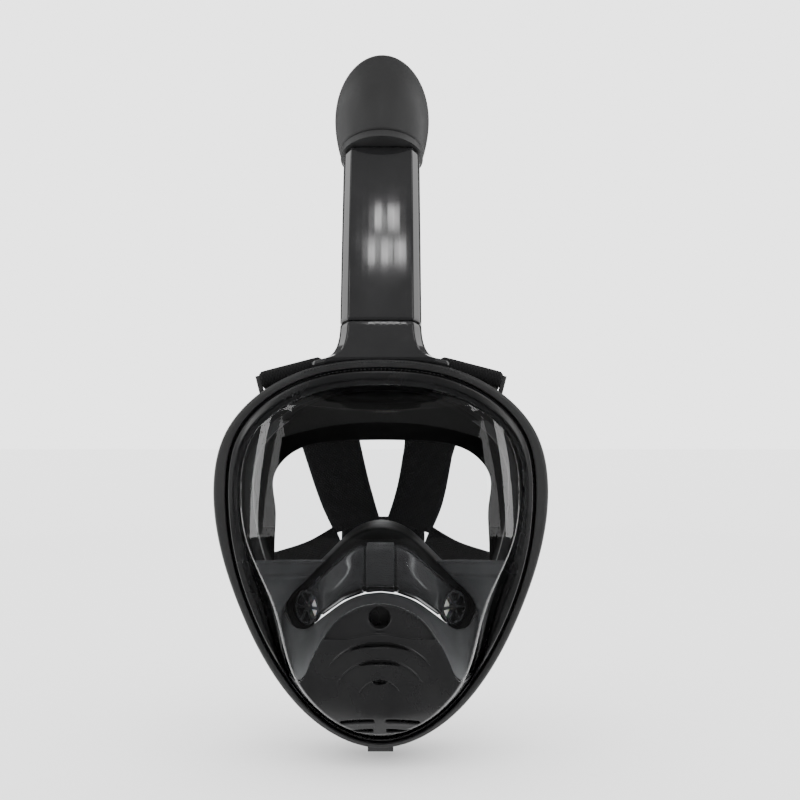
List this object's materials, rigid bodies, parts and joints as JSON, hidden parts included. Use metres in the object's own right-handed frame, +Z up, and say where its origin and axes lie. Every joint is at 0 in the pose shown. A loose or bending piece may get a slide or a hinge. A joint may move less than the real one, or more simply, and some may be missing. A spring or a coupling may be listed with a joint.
{
  "type": "full face snorkel mask",
  "caption": "Child-size full face snorkel mask: domed clear lens in an egg-shaped frame, nose pocket, louvred chin cover, plug-in dry-top snorkel and head straps.",
  "frame": {"origin": "centre of the face seal, level with its rearmost edge", "axes": "-Y is the front of the mask, +Z is up, X is across the face with the wearer's left at +X"},
  "size_m": [0.16, 0.137, 0.3439],
  "materials": {
    "frame_matte": "fine matte moulded plastic",
    "bezel_gloss": "polished black plastic",
    "clear_lens": "clear polycarbonate with a hard coat",
    "black_silicone": "soft matte silicone",
    "smoke_silicone": "satin grey-black silicone",
    "grey_silicone": "thin pale silicone",
    "nose_gloss": "glossy black shell",
    "chin_gloss": "semi-gloss black shell",
    "tube_gloss": "glossy black moulded plastic with mould seams",
    "cap_satin": "satin black soft-touch plastic",
    "valve_plastic": "plain moulded valve plastic",
    "float_plastic": "pale closed float",
    "screw_steel": "stainless screws",
    "spring_steel": "stainless leaf spring",
    "strap_fabric": "woven elastic webbing",
    "pad_fabric": "knit-faced padded fabric"
  },
  "bodies": {
    "mask": {"rear_frame": "frame_matte", "front_bezel": "bezel_gloss", "lens": "clear_lens", "lens_gasket": "black_silicone", "face_skirt": "black_silicone", "left_cheek_partition": "smoke_silicone", "right_cheek_partition": "smoke_silicone", "nose_pocket": "black_silicone", "nose_cover": "nose_gloss", "left_valve_grate": "nose_gloss", "right_valve_grate": "nose_gloss", "chin_cover": "chin_gloss", "camera_socket": "chin_gloss", "drain_seat": "frame_matte", "chin_tab": "frame_matte", "left_exhale_duct": "frame_matte", "right_exhale_duct": "frame_matte", "frame_screws": "screw_steel", "snorkel_socket": "tube_gloss", "upper_left_buckle": "frame_matte", "upper_right_buckle": "frame_matte", "lower_left_buckle": "frame_matte", "lower_right_buckle": "frame_matte", "upper_left_strap": "strap_fabric", "upper_right_strap": "strap_fabric", "lower_left_strap": "strap_fabric", "lower_right_strap": "strap_fabric", "back_pad": "pad_fabric"},
    "snorkel": {"snorkel_tube": "tube_gloss", "air_divider": "tube_gloss", "socket_gasket": "black_silicone", "button_spring": "spring_steel", "valve_base": "cap_satin", "intake_duct": "valve_plastic", "float_cage": "valve_plastic", "valve_seat": "valve_plastic", "float_cap": "cap_satin"},
    "float": {"float": "float_plastic", "float_seal": "grey_silicone"},
    "release_button": {"release_button": "frame_matte"},
    "left_exhaust_flap": {"left_exhaust_flap": "grey_silicone"},
    "right_exhaust_flap": {"right_exhaust_flap": "grey_silicone"},
    "left_inhale_flap": {"left_inhale_flap": "grey_silicone"},
    "right_inhale_flap": {"right_inhale_flap": "grey_silicone"},
    "drain_flap": {"drain_flap": "grey_silicone"},
    "left_slider": {"left_slider": "frame_matte"},
    "right_slider": {"right_slider": "frame_matte"}
  },
  "joints": [
    {"name": "snorkel_pull", "type": "slide", "parent": "mask", "child": "snorkel", "axis": [0, 0.2588, 0.9659], "range_m": [0, 0.02]},
    {"name": "release_button_press", "type": "slide", "parent": "snorkel", "child": "release_button", "axis": [0, -0.9659, 0.2588], "range_m": [0, 0.0025], "stiffness_N_per_m": 300, "springref_m": -0.001},
    {"name": "float_lift", "type": "slide", "parent": "snorkel", "child": "float", "axis": [0, 0.4099, 0.9121], "range_m": [0, 0.0053]},
    {"name": "left_exhaust_flap_hinge", "type": "hinge", "parent": "snorkel", "child": "left_exhaust_flap", "pos_m": [0.0108, -0.00634, 0.19937], "axis": [0, -0.9121, 0.4099], "range_deg": [0, 35]},
    {"name": "right_exhaust_flap_hinge", "type": "hinge", "parent": "snorkel", "child": "right_exhaust_flap", "pos_m": [-0.0108, -0.00634, 0.19937], "axis": [0, 0.9121, -0.4099], "range_deg": [0, 35]},
    {"name": "left_inhale_flap_lift", "type": "slide", "parent": "mask", "child": "left_inhale_flap", "axis": [-0.692, 0.7219, 0], "range_m": [0, 0.001], "stiffness_N_per_m": 20, "springref_m": -0.0003},
    {"name": "right_inhale_flap_lift", "type": "slide", "parent": "mask", "child": "right_inhale_flap", "axis": [0.692, 0.7219, 0], "range_m": [0, 0.001], "stiffness_N_per_m": 20, "springref_m": -0.0003},
    {"name": "drain_flap_lift", "type": "slide", "parent": "mask", "child": "drain_flap", "axis": [0, -0.7071, -0.7071], "range_m": [0, 0.0012], "stiffness_N_per_m": 30, "springref_m": -0.0005},
    {"name": "left_slider_slide", "type": "slide", "parent": "mask", "child": "left_slider", "axis": [-0.3607, 0.9302, 0.0681], "range_m": [0, 0.012]},
    {"name": "right_slider_slide", "type": "slide", "parent": "mask", "child": "right_slider", "axis": [0.3607, 0.9302, 0.0681], "range_m": [0, 0.012]}
  ]
}
